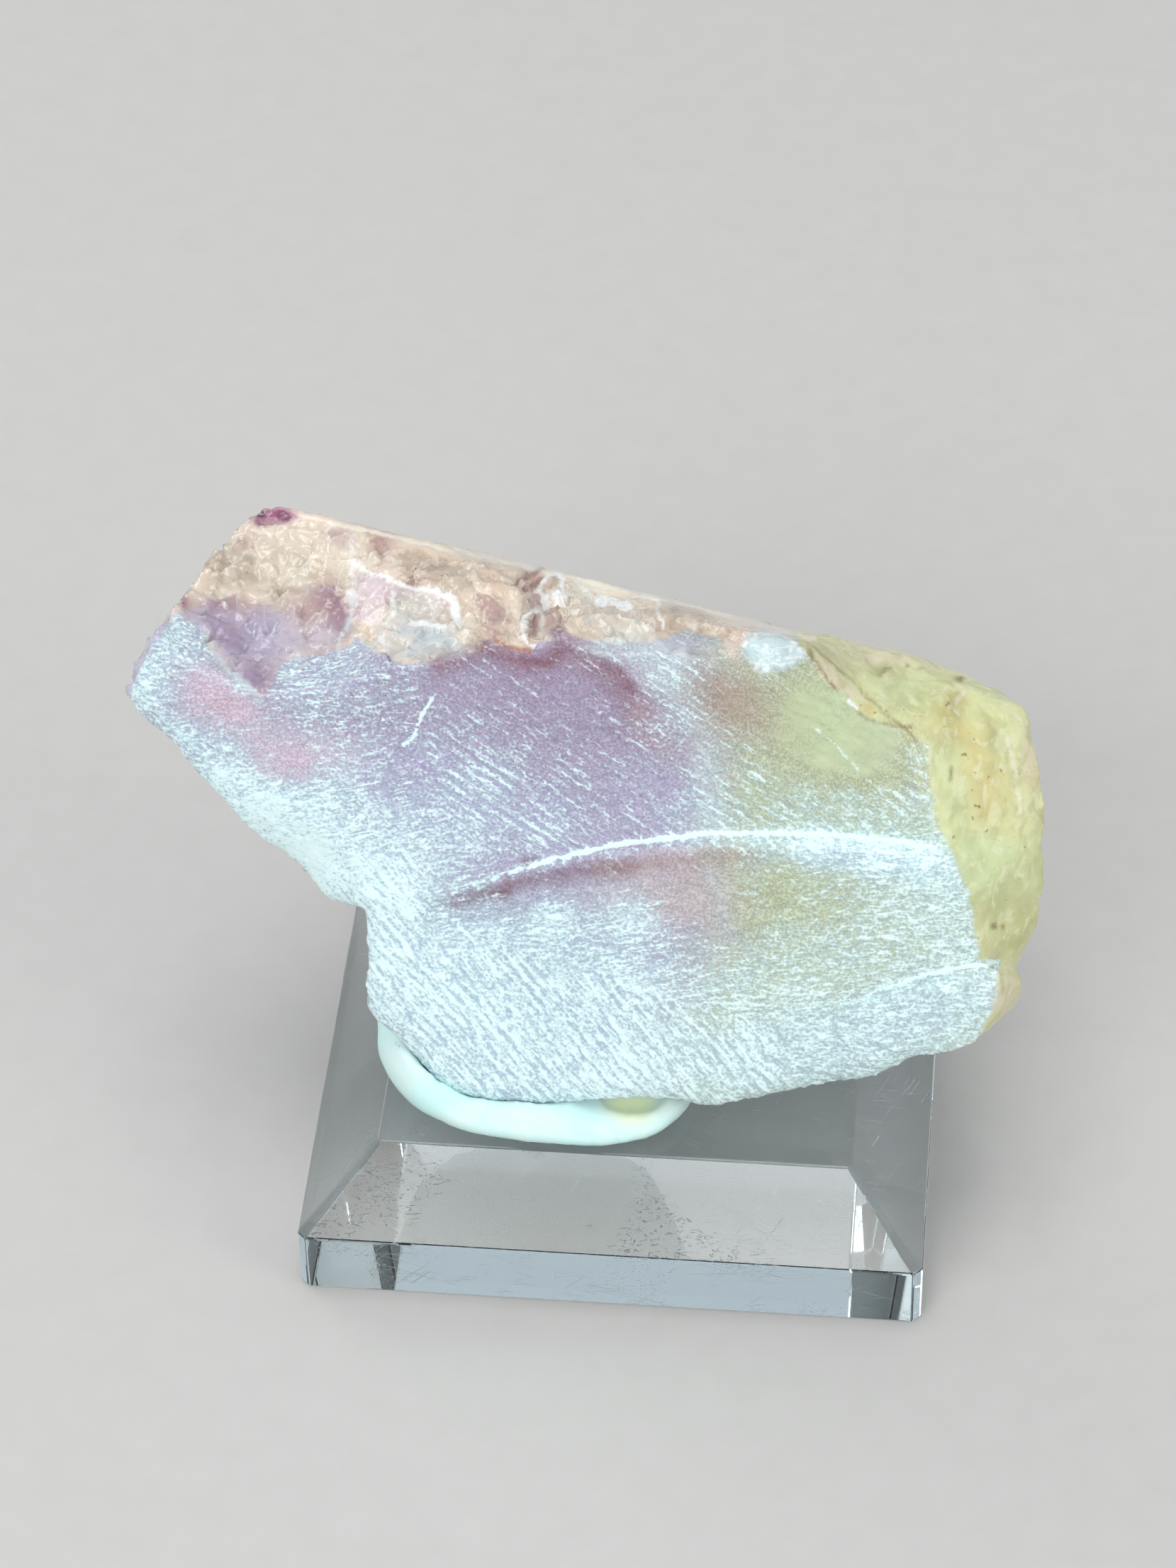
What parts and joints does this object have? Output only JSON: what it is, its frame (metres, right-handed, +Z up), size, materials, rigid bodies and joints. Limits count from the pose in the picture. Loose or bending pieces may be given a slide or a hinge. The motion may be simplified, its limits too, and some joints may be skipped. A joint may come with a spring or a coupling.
{
  "type": "rough fluorite slab on a clear display block",
  "caption": "Sawn slab of rough purple and green fluorite leaning back in a cradle of white putty on a clear square display block with bevelled edges.",
  "frame": {"origin": "middle of the display block's underside", "axes": "+Z up, -Y towards the viewer in front of the sawn face, +X to the viewer's right along the slab"},
  "size_m": [0.0549, 0.038, 0.0397],
  "materials": {
    "fluorite_crystal": "translucent crystal, saw-frosted in front, glassy where broken",
    "white_putty": "smooth matte",
    "clear_acrylic": "clear and polished, with fine scratches"
  },
  "bodies": {
    "root": {"fluorite": "fluorite_crystal", "putty": "white_putty", "base": "clear_acrylic"}
  },
  "joints": []
}
